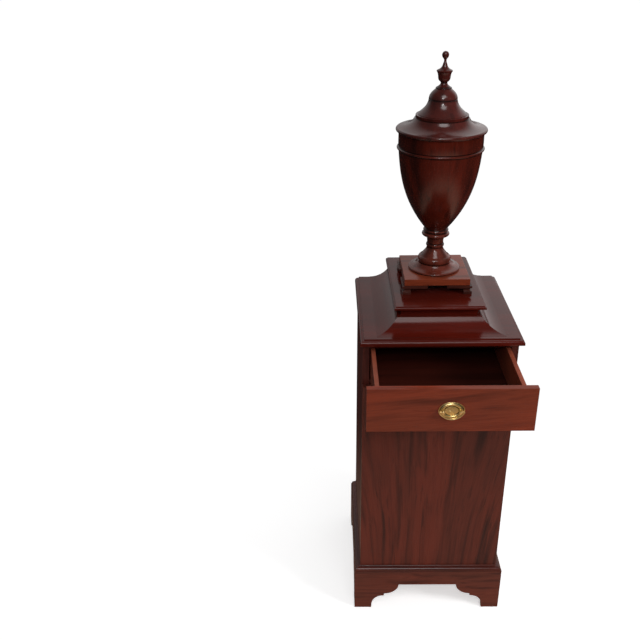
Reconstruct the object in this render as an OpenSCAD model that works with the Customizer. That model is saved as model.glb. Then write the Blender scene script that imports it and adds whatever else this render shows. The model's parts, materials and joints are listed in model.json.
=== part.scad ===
// Knife urn on its drawer pedestal: a turned, lidded urn that stands on a tall
// case with one drawer. Front faces -Y, height is +Z, floor at z = 0.

/* [Case] */
// Width over the case sides
case_w = 400; // [360:1:440]
// Depth from the front panel's face to the back
case_d = 396; // [385:1:450]
// Height of the case's top edge above the floor
case_top = 896; // [860:1:980]
// Thickness of the sides, bottom and rails
board_t = 18; // [15:0.5:22]
// Thickness of the front panel and the drawer front
front_t = 16; // [13:0.5:20]
// Thickness of the back panel
back_t = 8; // [6:0.5:12]
// Width of the rebate that holds the back
rebate_w = 10; // [6:0.5:12]
// Depth of the rails above and below the drawer
rail_d = 56; // [40:1:80]

/* [Base] */
// Height of the base boards
base_h = 141; // [125:1:160]
// Thickness of the base boards, their reach past the case
base_t = 16; // [12:0.5:20]
// Height of the cut-out between the feet
foot_h = 91; // [80:1:100]
// Width of a foot at the floor
foot_w = 51; // [40:1:60]
// Straight height of a foot's toe
toe_h = 12; // [6:1:20]
// Width and height of a foot's hollow curve
hollow_w = 33; // [24:1:40]
hollow_h = 35; // [26:1:40]
// Width of a foot's round curve, above the hollow one
round_w = 43; // [30:1:52]
// Step between the two curves
cusp = 4; // [2:0.5:8]
// Height of the moulding on the base
base_mould_h = 14; // [10:0.5:20]
// Width of the square blocks behind the feet
block_w = 30; // [22:1:40]
// Height of the rail that joins the base at the back
base_back_h = 50; // [35:1:70]

/* [Drawer] */
// How far the drawer stands open
drawer_open = 203; // [0:1:230]
// Height of the drawer front
drawer_front_h = 117; // [105:1:130]
// Height of the drawer front's top edge below the case top
drawer_drop = 6.5; // [3:0.5:10]
// Depth of the drawer box behind its front
drawer_box_d = 352; // [300:1:365]
// Thickness of the drawer sides and back
drawer_side_t = 11; // [8:0.5:14]
// Height of the drawer sides
drawer_side_h = 92; // [80:1:100]
// How far the sides start above the front's lower edge
drawer_lift = 11.5; // [8:0.5:16]
// Thickness of the drawer bottom
drawer_bottom_t = 5; // [4:0.5:8]
// Height of the bottom's groove above a side's lower edge
groove_z = 8; // [6:0.5:14]
// Depth of the grooves that hold the bottom
groove_d = 5; // [3:0.5:7]
// Room beside the drawer box
drawer_room = 3; // [1:0.5:5]
// Width of the runners and kickers
runner_w = 32; // [24:1:44]

/* [Pull] */
// Width of the oval plate
pull_w = 63; // [56:0.5:76]
// Height of the oval plate
pull_h = 47; // [44:0.5:56]
// Thickness of the plate at its field
plate_t = 1.2; // [0.8:0.1:2]
// Height of the plate's raised rim over the field
rim_h = 1.2; // [0.6:0.1:2]
// Distance of each post from the middle
post_x = 20; // [17:0.5:22]
// Radius of a post's head
post_r = 4; // [3.4:0.1:5]
// Distance of the bail's pivot from the drawer front
bail_out = 8; // [7:0.5:12]
// Radius of the bail's rod
bail_r = 2; // [1.6:0.1:2.4]
// Room between each post and the bail's knuckle
bail_room = 1.5; // [1.3:0.1:2]
// How far the bail hangs below its pivots
bail_drop = 19; // [14:0.5:22]
// Radius of the bail's pivot pins
bail_pin_r = 1.4; // [1:0.1:1.8]
// Radius of the posts' screws
post_screw_r = 2.3; // [1.8:0.1:2.8]

/* [Top and cap] */
// Thickness of the top board
top_t = 16; // [13:0.5:20]
// Reach of the top board past each side
top_side = 8; // [4:0.5:14]
// Reach of the top board past the front panel
top_front = 11; // [4:0.5:16]
// Distance of the slab's sides in from the case's
slab_in = 82; // [70:1:86]
// Distance of the slab's front edge behind the top board's
slab_back = 69; // [66:1:84]
// Thickness of the slab
slab_t = 9; // [8:0.5:14]
// Height of the neck under the slab
neck_h = 21; // [16:1:30]
// How far the neck stands in from the slab's edge
neck_in = 19; // [15:0.5:24]
// How far the cove's upper edge stands in from the slab's edge
arris_in = 8; // [5:0.5:11]
// Width and rise of the cove
cove_w = 54; // [44:1:64]
cove_h = 29; // [24:1:34]
// Thickness of the cove's upper edge
arris_t = 2; // [1:0.5:4]

/* [Urn plinth] */
// Width of the square plinth
plinth_w = 173; // [160:1:195]
// Thickness of the plinth
plinth_t = 18; // [14:0.5:24]
// Height of a plinth foot's pad, hollow and ledge
pad_h = 8; // [6:0.5:10]
scotia_h = 8.5; // [6:0.5:12]
ledge_h = 6; // [4:0.5:8]
// Width of a foot's pad
pad_w = 22; // [18:0.5:28]
// Length and width of a foot's ledge along each edge
ledge_w = 66; // [50:1:76]
ledge_d = 16; // [12:0.5:20]
// How far the ledges stand out of the plinth
ledge_out = 5; // [2:0.5:8]

/* [Urn] */
// Radius of the socle at its foot
socle_r = 69; // [64:0.5:76]
// Height of the socle up to the bowl
socle_h = 118; // [112:0.5:126]
// Smallest radius of the socle's neck
waist_r = 21.5; // [20:0.5:25]
// Radius of the collar under the bowl
collar_r = 36.5; // [34:0.5:40]
// Radius of the bowl's foot
bowl_foot_r = 32.5; // [30:0.5:34]
// Largest radius of the bowl, at its band
bowl_r = 107; // [100:0.5:112]
// Height of the bowl, foot to rim
bowl_h = 249; // [240:1:260]
// Height of the plain band under the rim
band_h = 35; // [28:1:44]
// Height and reach of the bead below the band
bead_h = 7; // [5:0.5:12]
bead_out = 3.5; // [2:0.5:5]
// Thickness of the bowl's wall
bowl_wall = 9; // [7:0.5:12]
// Thickness of the bowl's floor
bowl_floor = 20; // [14:1:26]
// Diameter of the bowl's spigot in the socle
spigot_d = 30; // [24:1:34]

/* [Knife tiers] */
// Height of the lowest tier's upper face below the bowl's rim
tier_deep = 107; // [98:1:116]
// Rise from tier to tier
tier_rise = 24; // [18:1:28]
// Thickness of the tiers
tier_t = 6; // [4:0.5:8]
// Outer radius of the middle and upper tiers
middle_r = 58; // [55:0.5:61]
upper_r = 36; // [33:0.5:39]
// Thickness of the drums that carry the upper tiers
drum_t = 4; // [3:0.5:6]
// Length of the knife slots: lowest, middle and upper tier
slot_low = 20; // [16:0.5:22]
slot_middle = 14; // [12:0.5:15]
slot_upper = 11.5; // [9:0.5:12]
// Width of the slots
slot_w = 8; // [6:0.5:9]
// Width of the ledge that carries the lowest tier
seat_w = 4; // [3:0.5:6]

/* [Lid] */
// Reach of the lid's rim past the bowl
rim_out = 7.5; // [5:0.5:10]
// Thickness of the lid's rim
rim_t = 12; // [9:0.5:15]
// Radius of the raised ring
ring_r = 66; // [64:0.5:70]
// Height of the ring's top above the bowl's rim
ring_z = 44.5; // [41:0.5:50]
// Radius of the bell at its foot and at its shoulder
bell_r = 61; // [57:0.5:62]
shoulder_r = 35.5; // [33:0.5:39]
// Height of the bell
bell_h = 62; // [57:0.5:70]
// Thickness of the lid's walls
lid_wall = 9; // [7:0.5:10]
// Depth of the lip inside the bowl
lip_h = 6; // [4:0.5:9]
// Height of the finial
finial_h = 87.5; // [82:0.5:96]
// Radius of the finial's vase at its lip
vase_r = 19.5; // [17.5:0.1:22]
// Radius and length of the finial's pin in the bell
finial_pin_r = 6; // [5:0.5:8]
finial_pin_l = 15; // [10:1:20]
// Radius of the ball on top
ball_r = 8.5; // [7.5:0.1:9.5]

/* [Rising stem] */
// Radius of the stem that the lid rises on
stem_r = 7; // [6.5:0.1:8]
// Length of the stem below the lid's rim
stem_l = 330; // [315:1:338]
// Outer radius of the stem's guide and of its flange
guide_r = 10.5; // [10:0.1:11]
flange_r = 15; // [14:0.1:15.5]
// Length of the guide
guide_l = 26; // [20:1:34]
// How far the lid rises before the catch can swing out
catch_rise = 136; // [120:1:142]
// Length and thickness of the catch
catch_l = 24; // [18:1:28]
catch_t = 3; // [2.4:0.1:3.6]
// Radius of the catch's pin
catch_pin_r = 1; // [0.8:0.1:1.2]

/* [Fits] */
// Running gap between sliding faces
slide_gap = 0.3; // [0.2:0.05:0.4]
// Gap round a seated or glued piece
seat_gap = 0.1; // [0.05:0.05:0.2]
// Gap round a hinge pin
pin_gap = 0.1; // [0.05:0.05:0.2]

/* [Hidden] */

MAHOGANY = "#5c2a20";
PANEL = "#51231b";
LIGHT = "#8c4a30";
INSIDE = "#97583a";
BRASS = "#b8954a";

base_w = case_w + 2 * base_t;
base_d = case_d + base_t;
front_y = -base_d / 2;
back_y = base_d / 2;
panel_y = front_y + base_t;
case_y = panel_y + front_t;
inner_x = case_w / 2 - board_t;
case_z = foot_h + 4;

drawer_top = case_top - drawer_drop;
drawer_z = drawer_top - drawer_front_h;
box_x = inner_x - drawer_room;
box_z = drawer_z + drawer_lift;
box_top = box_z + drawer_side_h;
rail_top = box_z - slide_gap;
kicker_z = box_top + 2;
drawer_y = panel_y - drawer_open;
box_y = drawer_y + front_t;
box_end = box_y + drawer_box_d;
bottom_z = box_z + groove_z;

pull_z = drawer_z + drawer_front_h / 2;
post_foot_r = post_r + 1;
knuckle_r = bail_r + 0.7;
bail_x = post_x + post_r + knuckle_r + bail_room;
bail_y = drawer_y - bail_out;

top_z = case_top + top_t;
top_y = panel_y - top_front;
slab_w = case_w - 2 * slab_in;
slab_y = top_y + slab_back;
slab_z = top_z + cove_h + arris_t + neck_h;
slab_top = slab_z + slab_t;
cove_reach = cove_w + neck_in - arris_in;

urn_y = (slab_y + back_y) / 2;
plinth_z = slab_top + pad_h + scotia_h + ledge_h;
socle_z = plinth_z + plinth_t;
bowl_z = socle_z + socle_h;
rim_z = bowl_z + bowl_h;
bead_z = rim_z - band_h - bead_h;
tier_z = rim_z - tier_deep - tier_t;
guide_top = tier_z + 2 * tier_rise + tier_t + 3;
lid_z = rim_z + slide_gap;
rim_r = bowl_r + rim_out;
bell_z = lid_z + ring_z;
shoulder_z = 0.6 * bell_h;
finial_z = bell_z + bell_h;
stem_hole = stem_r + slide_gap;
catch_z = guide_top + catch_l - catch_rise;
catch_y = catch_t / 2 + 0.6 - stem_r;

// Points of a circle's arc about c, from angle a0 to a1
function arc(c, r, a0, a1, n = 8) = oval(c, r, r, a0, a1, n);

// Points of an upright ellipse's arc about c
function oval(c, rx, ry, a0, a1, n = 8) =
    [for (i = [0:n]) let (a = a0 + (a1 - a0) * i / n) c + [rx * cos(a), ry * sin(a)]];

// Points of a smooth curve from p to q, drawn towards handles h and k
function curve(p, h, k, q, n = 10) =
    [for (i = [0:n]) let (t = i / n, u = 1 - t)
        u * u * u * p + 3 * u * u * t * h + 3 * u * t * t * k + t * t * t * q];

// Points in the opposite order
function reversed(v) = [for (i = [len(v) - 1:-1:0]) v[i]];

// A piece turned about the urn's axis from [radius, height] points
module turned(points) {
    translate([0, urn_y, 0]) rotate_extrude($fn = 96) polygon(points);
}

// A block from one corner to the other
module block(low, high) {
    translate(low) cube(high - low);
}

// A board along X, outer face at y = 0, cut to an outline, with mitred ends (1) or square ones (0)
module mitred_board(length, thick, outline, left = 1, right = 1) {
    intersection() {
        translate([0, thick, 0]) rotate([90, 0, 0]) linear_extrude(thick) polygon(outline);
        mitre_plan(length, thick, left, right);
    }
}

// A moulding along X, outer face at y = 0, from a [depth, height] section
module mitred_strip(length, reach, section, left = 1, right = 1) {
    intersection() {
        translate([-length / 2, 0, 0]) rotate([90, 0, 90]) linear_extrude(length) polygon(section);
        mitre_plan(length, reach, left, right);
    }
}

// The space between two end cuts, mitred inwards at 45 degrees where asked
module mitre_plan(length, reach, left, right) {
    e = length / 2;
    linear_extrude(base_h + 2 * cove_h)
        polygon([[-e, 0], [e, 0], [e - right * reach, reach], [left * reach - e, reach]]);
}

// A left or right run of the same moulding or board, its front end mitred
module side_run(side, x, length) {
    translate([side * x, back_y - length / 2, 0]) rotate([0, 0, side * 90]) children();
}

// Half of a bracket foot's edge, from its toe to the rail above the cut-out
function foot_edge() =
    let (x1 = foot_w + hollow_w, z1 = toe_h + hollow_h)
    concat([[foot_w, 0]],
           oval([x1, toe_h], hollow_w, hollow_h, 180, 90),
           [[x1 + cusp, z1]],
           oval([x1 + cusp, foot_h], round_w, foot_h - z1 - 2 * cusp, 270, 360));

// Outline of a base board with a bracket foot at each end
function foot_board(length) =
    let (e = length / 2)
    concat([[-e, 0]],
           [for (p = foot_edge()) [p[0] - e, p[1]]],
           [for (p = reversed(foot_edge())) [e - p[0], p[1]]],
           [[e, 0], [e, base_h], [-e, base_h]]);

module base_front() {
    color(MAHOGANY) translate([0, front_y, 0])
        mitred_board(base_w, base_t, foot_board(base_w));
}

module base_left() {
    color(MAHOGANY) side_run(-1, base_w / 2, base_d)
        mitred_board(base_d, base_t, foot_board(base_d), left = 0);
}

module base_right() {
    color(MAHOGANY) side_run(1, base_w / 2, base_d)
        mitred_board(base_d, base_t, foot_board(base_d), right = 0);
}

module base_back() {
    color(INSIDE) block([-case_w / 2, back_y - base_t, case_z - base_back_h], [case_w / 2, back_y, case_z]);
}

module base_blocks() {
    lift = 3;
    for (side = [-1, 1], y = [panel_y + block_w / 2, back_y - base_t - block_w / 2])
        color(INSIDE) translate([side * (case_w - block_w) / 2, y, (case_z + lift) / 2])
            cube([block_w, block_w, case_z - lift], center = true);
}

// Section of the base moulding: a fillet and quirk, a round, and a hollow that runs in to the case
function base_section() =
    let (fillet = 2, quirk = 2, hollow = 3,
         w = base_t - 2 * quirk - hollow, h = base_mould_h - fillet - hollow)
    concat([[0, 0], [0, fillet]],
           oval([quirk + w, fillet], w, h, 180, 90),
           arc([base_t - hollow, base_mould_h], hollow, 270, 360, 4),
           [[base_t, 0]]);

module base_moulding_front() {
    color(MAHOGANY) translate([0, front_y, base_h]) mitred_strip(base_w, base_t, base_section());
}

module base_moulding_left() {
    color(MAHOGANY) translate([0, 0, base_h]) side_run(-1, base_w / 2, base_d)
        mitred_strip(base_d, base_t, base_section(), left = 0);
}

module base_moulding_right() {
    color(MAHOGANY) translate([0, 0, base_h]) side_run(1, base_w / 2, base_d)
        mitred_strip(base_d, base_t, base_section(), right = 0);
}

// A case side, rebated for the back
module case_side() {
    difference() {
        block([inner_x, case_y, case_z], [case_w / 2, back_y, case_top]);
        block([inner_x - 1, back_y - back_t, case_z - 1], [inner_x + rebate_w, back_y + 1, case_top + 1]);
    }
}

module case_left() {
    color(MAHOGANY) mirror([1, 0, 0]) case_side();
}

module case_right() {
    color(MAHOGANY) case_side();
}

module case_back() {
    e = inner_x + rebate_w - seat_gap;
    color(INSIDE) block([-e, back_y - back_t, case_z], [e, back_y, case_top]);
}

module case_bottom() {
    color(INSIDE) block([-inner_x, case_y, case_z], [inner_x, back_y - back_t, case_z + board_t]);
}

module front_panel() {
    gap = 1.5;
    color(PANEL) block([-case_w / 2, panel_y, case_z], [case_w / 2, case_y, drawer_z - gap]);
}

module drawer_rail() {
    color(MAHOGANY) block([-inner_x, case_y, rail_top - board_t - 2], [inner_x, case_y + rail_d, rail_top]);
}

module top_rail() {
    color(MAHOGANY) block([-inner_x, case_y, kicker_z], [inner_x, case_y + rail_d, case_top]);
}

module drawer_runners() {
    for (side = [0, 1])
        color(INSIDE) mirror([side, 0, 0])
            block([inner_x - runner_w, case_y + rail_d, rail_top - board_t],
                  [inner_x, back_y - back_t, rail_top]);
}

module drawer_kickers() {
    for (side = [0, 1])
        color(INSIDE) mirror([side, 0, 0])
            block([inner_x - runner_w, case_y + rail_d, kicker_z], [inner_x, back_y - back_t, case_top]);
}

// A slab with a moulded edge at the front and both sides and a flat back. The
// edge lists [inset, height] points from the lower arris up to the upper face.
module moulded_slab(width, y0, y1, z, edge) {
    e = width / 2;
    right = [for (p = edge) [e - p[0], z + p[1]]];
    left = [for (p = reversed(edge)) [p[0] - e, z + p[1]]];
    front = [for (p = reversed(edge)) [y0 + p[0], z + p[1]]];
    top = edge[len(edge) - 1][1];
    intersection() {
        translate([0, y1, 0]) rotate([90, 0, 0]) linear_extrude(y1 - y0) polygon(concat(right, left));
        translate([-e, 0, 0]) rotate([90, 0, 90]) linear_extrude(width)
            polygon(concat(front, [[y1, z], [y1, z + top]]));
    }
}

// Edge of the top board: a fillet, a round, a quirk and an upper fillet
function top_edge() =
    let (fillet = 5, quirk = 3, r = top_t - fillet - quirk)
    concat([[0, 0], [0, fillet]],
           arc([r, fillet], r, 180, 90, 6),
           [[r + quirk, fillet + r], [r + quirk, top_t]]);

module top_board() {
    color(MAHOGANY) moulded_slab(case_w + 2 * top_side, top_y, back_y, case_top, top_edge());
}

// Section of the cove: hollow from a thin foot up to its arris, then flat to the neck
function cove_section() =
    let (foot = 0.4, rise = cove_h - foot, r = (cove_w * cove_w + rise * rise) / (2 * rise))
    concat([[0, 0]],
           arc([0, foot + r], r, 270, 270 + asin(cove_w / r), 12),
           [[cove_w, cove_h + arris_t], [cove_reach, cove_h + arris_t], [cove_reach, 0]]);

// Distance of the cove's foot from the middle, and its front foot's place
cove_x = slab_w / 2 - arris_in + cove_w;
cove_y = slab_y + arris_in - cove_w;

module cove_front() {
    color(MAHOGANY) translate([0, cove_y, top_z]) mitred_strip(2 * cove_x, cove_reach, cove_section());
}

module cove_left() {
    color(MAHOGANY) translate([0, 0, top_z]) side_run(-1, cove_x, back_y - cove_y)
        mitred_strip(back_y - cove_y, cove_reach, cove_section(), left = 0);
}

module cove_right() {
    color(MAHOGANY) translate([0, 0, top_z]) side_run(1, cove_x, back_y - cove_y)
        mitred_strip(back_y - cove_y, cove_reach, cove_section(), right = 0);
}

module cap_core() {
    e = slab_w / 2 - neck_in;
    color(MAHOGANY) block([-e, slab_y + neck_in, top_z], [e, back_y, slab_z]);
}

// Edge of the cap's slab: a fillet and a round
function slab_edge() =
    let (fillet = 4, r = slab_t - fillet - 2)
    concat([[0, 0], [0, fillet]],
           arc([r, fillet], r, 180, 90, 6),
           [[r + 1.5, fillet + r], [r + 1.5, slab_t]]);

module cap_slab() {
    color(MAHOGANY) moulded_slab(slab_w, slab_y, back_y, slab_z, slab_edge());
}

// The groove that holds the drawer bottom, cut along a side or the front
module bottom_space(gap) {
    e = box_x - drawer_side_t + groove_d + gap;
    block([-e, box_y - groove_d - gap, bottom_z - gap], [e, box_end + gap, bottom_z + drawer_bottom_t + gap]);
}

// Both screw holes for the pull's posts, through everything on the drawer front
module post_holes(r) {
    for (side = [-1, 1])
        translate([side * post_x, drawer_y - bail_out, pull_z]) rotate([-90, 0, 0])
            cylinder(r = r, h = front_t + 2 * bail_out, $fn = 32);
}

module drawer_front() {
    side_gap = 0.5;
    e = case_w / 2 - side_gap;
    color(PANEL) difference() {
        block([-e, drawer_y, drawer_z], [e, box_y, drawer_top]);
        bottom_space(seat_gap);
        post_holes(post_screw_r + seat_gap);
    }
}

// A drawer side, grooved for the bottom
module drawer_side() {
    difference() {
        block([box_x - drawer_side_t, box_y, box_z], [box_x, box_end, box_top]);
        bottom_space(seat_gap);
    }
}

module drawer_left() {
    color(LIGHT) mirror([1, 0, 0]) drawer_side();
}

module drawer_right() {
    color(LIGHT) drawer_side();
}

module drawer_back() {
    e = box_x - drawer_side_t;
    color(LIGHT) block([-e, box_end - drawer_side_t, bottom_z + drawer_bottom_t], [e, box_end, box_top - 4]);
}

module drawer_bottom() {
    color(INSIDE) bottom_space(0);
}

// An oval slice of the plate: its width, height and two distances from the drawer front
module plate_slice(w, h, y0, y1) {
    translate([0, drawer_y - y0, pull_z]) rotate([90, 0, 0])
        linear_extrude(y1 - y0) polygon(oval([0, 0], w / 2, h / 2, 0, 354, 59));
}

module pull_plate() {
    rim = 2.6;
    raised = plate_t + rim_h;
    field_w = pull_w - 26;
    field_h = pull_h - 14;
    color(BRASS) difference() {
        union() {
            plate_slice(pull_w, pull_h, 0, plate_t);
            difference() {
                plate_slice(pull_w, pull_h, plate_t, raised);
                plate_slice(pull_w - 2 * rim, pull_h - 2 * rim, 0, raised + 1);
            }
            plate_slice(field_w, field_h, plate_t, plate_t + rim_h / 2);
        }
        post_holes(post_screw_r + seat_gap);
        for (side = [-1, 1])
            translate([side * post_x, drawer_y - plate_t, pull_z]) rotate([90, 0, 0])
                cylinder(r = post_foot_r + seat_gap, h = bail_out, $fn = 48);
    }
}

module pull_posts() {
    head_l = bail_out + post_r - plate_t;
    screw_l = front_t + plate_t + 6;
    for (side = [-1, 1])
        color(BRASS) translate([side * post_x, drawer_y - plate_t, pull_z]) difference() {
            rotate([90, 0, 0]) rotate_extrude($fn = 48)
                polygon(concat([[0, -screw_l], [post_screw_r, -screw_l], [post_screw_r, 0],
                                [post_foot_r, 0], [post_r, 1.5]],
                               arc([post_r - 1.5, head_l - 1.5], 1.5, 0, 90, 4),
                               [[0, head_l]]));
            translate([0, plate_t - bail_out, 0]) rotate([0, 90, 0])
                cylinder(r = bail_pin_r + pin_gap, h = 4 * post_r, center = true, $fn = 32);
        }
}

module pull_nuts() {
    nut_r = 6;
    nut_t = 4;
    for (side = [-1, 1])
        color(BRASS) translate([side * post_x, box_y, pull_z]) rotate([-90, 0, 0]) difference() {
            cylinder(r = nut_r, h = nut_t, $fn = 32);
            translate([0, 0, -1]) cylinder(r = post_screw_r + seat_gap, h = nut_t + 2, $fn = 32);
        }
}

// Bail: one arc of rod, a knuckle at each end and pins that turn in the posts
module pull_bail() {
    bow_r = (bail_x * bail_x + bail_drop * bail_drop) / (2 * bail_drop);
    half = asin(bail_x / bow_r);
    color(BRASS) translate([0, bail_y, pull_z]) {
        translate([0, 0, bow_r - bail_drop]) rotate([90, 0, 0]) rotate([0, 0, 270 - half])
            rotate_extrude(angle = 2 * half, $fn = 96) translate([bow_r, 0]) circle(r = bail_r, $fn = 32);
        for (side = [-1, 1]) {
            translate([side * bail_x, 0, 0]) sphere(r = knuckle_r, $fn = 48);
            translate([side * (bail_x + post_x - post_r) / 2, 0, 0]) rotate([0, 90, 0])
                cylinder(r = bail_pin_r, h = bail_x - post_x + post_r, center = true, $fn = 32);
        }
    }
}

// Section of a plinth foot along one edge: pad, hollow and the corner under the ledge
function pad_section() =
    let (hollow = 5)
    concat([[0, 0], [0, pad_h - 1], [1, pad_h]],
           curve([hollow - 1, pad_h], [hollow + 1, pad_h + scotia_h / 3],
                 [hollow, pad_h + scotia_h * 0.8], [2, pad_h + scotia_h], 6),
           [[pad_w, pad_h + scotia_h], [pad_w, 0]]);

// One foot at the plinth's front left corner, its outer corner at the origin
module plinth_foot() {
    intersection() {
        rotate([90, 0, 0]) translate([0, 0, -pad_w]) linear_extrude(pad_w) polygon(pad_section());
        rotate([90, 0, 90]) linear_extrude(pad_w) polygon(pad_section());
    }
    translate([0, 0, pad_h + scotia_h]) linear_extrude(ledge_h)
        polygon([[0, 0], [ledge_w, 0], [ledge_w, ledge_d], [ledge_d, ledge_d], [ledge_d, ledge_w], [0, ledge_w]]);
}

module urn_feet() {
    e = plinth_w / 2 + ledge_out;
    for (turn = [0:90:270])
        color(LIGHT) translate([0, urn_y, slab_top]) rotate([0, 0, turn]) translate([-e, -e, 0]) plinth_foot();
}

// The hole for the stem, up through the socle, the bowl's floor and the spigot
module stem_bore(z0, z1) {
    translate([0, urn_y, z0]) cylinder(r = stem_hole, h = z1 - z0, $fn = 48);
}

module urn_plinth() {
    e = plinth_w / 2;
    color(LIGHT) block([-e, urn_y - e, plinth_z], [e, urn_y + e, socle_z]);
}

// Socle: foot disc, hollow, round moulding, hollow neck with a bead, and two collars
function socle_points() =
    let (disc_h = 6, round_r = socle_r * 0.63, round_z = 19, round_h = 17,
         neck_z = 62, ring_h = neck_z + 5, collar_z = socle_h - 20, upper_z = socle_h - 8.5)
    concat([[0, 0], [socle_r - 1, 0]],
           arc([socle_r - disc_h / 2, disc_h / 2], disc_h / 2, -60, 90, 6),
           curve([socle_r - disc_h, disc_h + 1], [socle_r - 16, disc_h + 2],
                 [round_r + 5, round_z - 6], [round_r + 1, round_z - 1], 8),
           [[round_r - 5, round_z - 1]],
           oval([round_r - 5, round_z + round_h / 2], 5.5, round_h / 2, -90, 90),
           curve([round_r - 6.5, round_z + round_h + 1], [waist_r + 6, neck_z - 13],
                 [waist_r, neck_z - 8], [waist_r, neck_z], 8),
           oval([waist_r, ring_h], 2.4, 4.5, -90, 90),
           curve([waist_r, ring_h + 6], [waist_r, collar_z - 12],
                 [waist_r + 2, collar_z - 7], [collar_r - 7, collar_z - 6], 8),
           [[collar_r - 5, collar_z - 5]],
           arc([collar_r - 4.5, collar_z], 4.5, -80, 90),
           [[collar_r - 8, collar_z + 5], [collar_r - 8, upper_z - 3.5]],
           arc([collar_r - 6, upper_z], 2.8, -90, 90),
           [[bowl_foot_r - 3, upper_z + 4], [bowl_foot_r, socle_h], [0, socle_h]]);

module urn_socle() {
    color(MAHOGANY) difference() {
        translate([0, 0, socle_z]) turned(socle_points());
        stem_bore(lid_z - stem_l - 2, bowl_z + 1);
        translate([0, urn_y, bowl_z - spigot_d / 2 - seat_gap])
            cylinder(d = spigot_d + 2 * seat_gap, h = spigot_d, $fn = 64);
    }
}

// Outer line of the bowl from its foot to the bead
function bowl_line() =
    let (b = bead_z - bowl_z)
    curve([bowl_foot_r, 0], [bowl_foot_r + 0.85 * (bowl_r - bowl_foot_r), 0.386 * b],
          [bowl_r - 6, 0.735 * b], [bowl_r - 1, b], 20);

// Radius of the bowl's outer line at a height above its foot
function bowl_radius(h) = lookup(h, [for (p = bowl_line()) [p[1], p[0]]]);

// Bowl: its outer line and the hollow inside, stepped to seat the lowest tier
module urn_bowl() {
    seat = tier_z - bowl_z;
    seat_r = bowl_radius(seat) - bowl_wall;
    low = [for (p = bowl_line()) if (p[1] > bowl_floor + 12 && p[1] < seat - 4) p - [bowl_wall + seat_w, 0]];
    high = [for (p = bowl_line()) if (p[1] > seat + 4) p - [bowl_wall, 0]];
    inside = concat(reversed(high), [[seat_r, seat], [seat_r - seat_w, seat]], reversed(low),
                    [[stem_hole + 4, bowl_floor], [0, bowl_floor]]);
    color(MAHOGANY) difference() {
        union() {
            translate([0, 0, bowl_z]) turned(concat([[0, 0]], bowl_line(), inside));
            translate([0, urn_y, bowl_z - spigot_d / 2]) cylinder(d = spigot_d, h = spigot_d / 2 + 1, $fn = 64);
        }
        stem_bore(bowl_z - spigot_d, bowl_z + bowl_h);
    }
}

// Bead, plain band and rim, glued on the bowl as one ring
module urn_band() {
    foot_r = bowl_r - 1;
    top = band_h + bead_h;
    color(MAHOGANY) translate([0, 0, bead_z])
        turned(concat([[foot_r - bowl_wall, 0]], oval([foot_r, bead_h / 2], bead_out + 1, bead_h / 2, -90, 90),
                      [[bowl_r, bead_h + 2], [bowl_r, top], [bowl_r - bowl_wall, top]]));
}

// Radius of the lowest tier, which sits inside the bowl's wall
low_r = bowl_radius(tier_z - bowl_z) - bowl_wall - slide_gap;

// A ring-shaped tier with knife slots set round it, long side towards the middle
module tier(r_in, r_out, z, count, slot_r, slot_l) {
    difference() {
        translate([0, urn_y, z]) cylinder(r = r_out, h = tier_t, $fn = 96);
        translate([0, urn_y, z - 1]) cylinder(r = r_in, h = tier_t + 2, $fn = 96);
        for (i = [0:count - 1])
            translate([0, urn_y, z]) rotate([0, 0, i * 360 / count]) translate([slot_r, 0, tier_t / 2])
                cube([slot_l, slot_w, tier_t + 2], center = true);
    }
}

// A drum that stands on one tier and carries the next
module drum(r, z) {
    translate([0, urn_y, z]) difference() {
        cylinder(r = r, h = tier_rise - tier_t, $fn = 96);
        translate([0, 0, -1]) cylinder(r = r - drum_t, h = tier_rise, $fn = 96);
    }
}

module tier_low() {
    color(LIGHT) tier(middle_r - drum_t, low_r, tier_z, 8, (middle_r + low_r) / 2, slot_low);
}

module tier_middle() {
    slot_r = (upper_r + middle_r - drum_t) / 2;
    color(LIGHT) tier(upper_r - drum_t, middle_r, tier_z + tier_rise, 8, slot_r, slot_middle);
}

module tier_upper() {
    slot_r = (flange_r + upper_r - drum_t) / 2 + 0.5;
    color(LIGHT) tier(guide_r + seat_gap, upper_r, tier_z + 2 * tier_rise, 4, slot_r, slot_upper);
}

module drum_low() {
    color(LIGHT) drum(middle_r, tier_z + tier_t);
}

module drum_upper() {
    color(LIGHT) drum(upper_r, tier_z + tier_rise + tier_t);
}

module stem_guide() {
    flange_t = 3;
    color(BRASS) difference() {
        translate([0, 0, guide_top])
            turned([[0, -guide_l], [guide_r, -guide_l], [guide_r, -flange_t], [flange_r, -flange_t],
                    [flange_r, 0], [0, 0]]);
        stem_bore(guide_top - guide_l - 1, guide_top + 1);
    }
}

// Lid cover: rim with a rounded edge, hollow sweep up to the ring, a seat for the
// bell, and underneath a lip that drops inside the bowl
module lid_cover() {
    edge = 4.5;
    lip_r = bowl_r - bowl_wall - slide_gap;
    seat_r = bell_r - lid_wall;
    sweep = curve([rim_r - edge - 1, rim_t], [rim_r - 24, rim_t + 3], [ring_r + 9, rim_t + 8],
                  [ring_r + 3, ring_z - 9], 10);
    under = curve([lip_r - lid_wall, 0], [lip_r - 26, 2], [seat_r + 16, ring_z - 24], [seat_r, ring_z - 14], 8);
    color(MAHOGANY) translate([0, 0, lid_z])
        turned(concat([[lip_r - lid_wall, -lip_h], [lip_r, -lip_h], [lip_r, 0]],
                      [[bowl_r, 0]], arc([rim_r - edge, rim_t - edge], edge, -50, 90, 8), sweep,
                      [[ring_r, ring_z - 9], [ring_r, ring_z - 1], [ring_r - 1, ring_z], [seat_r, ring_z]],
                      reversed(under)));
}

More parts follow.
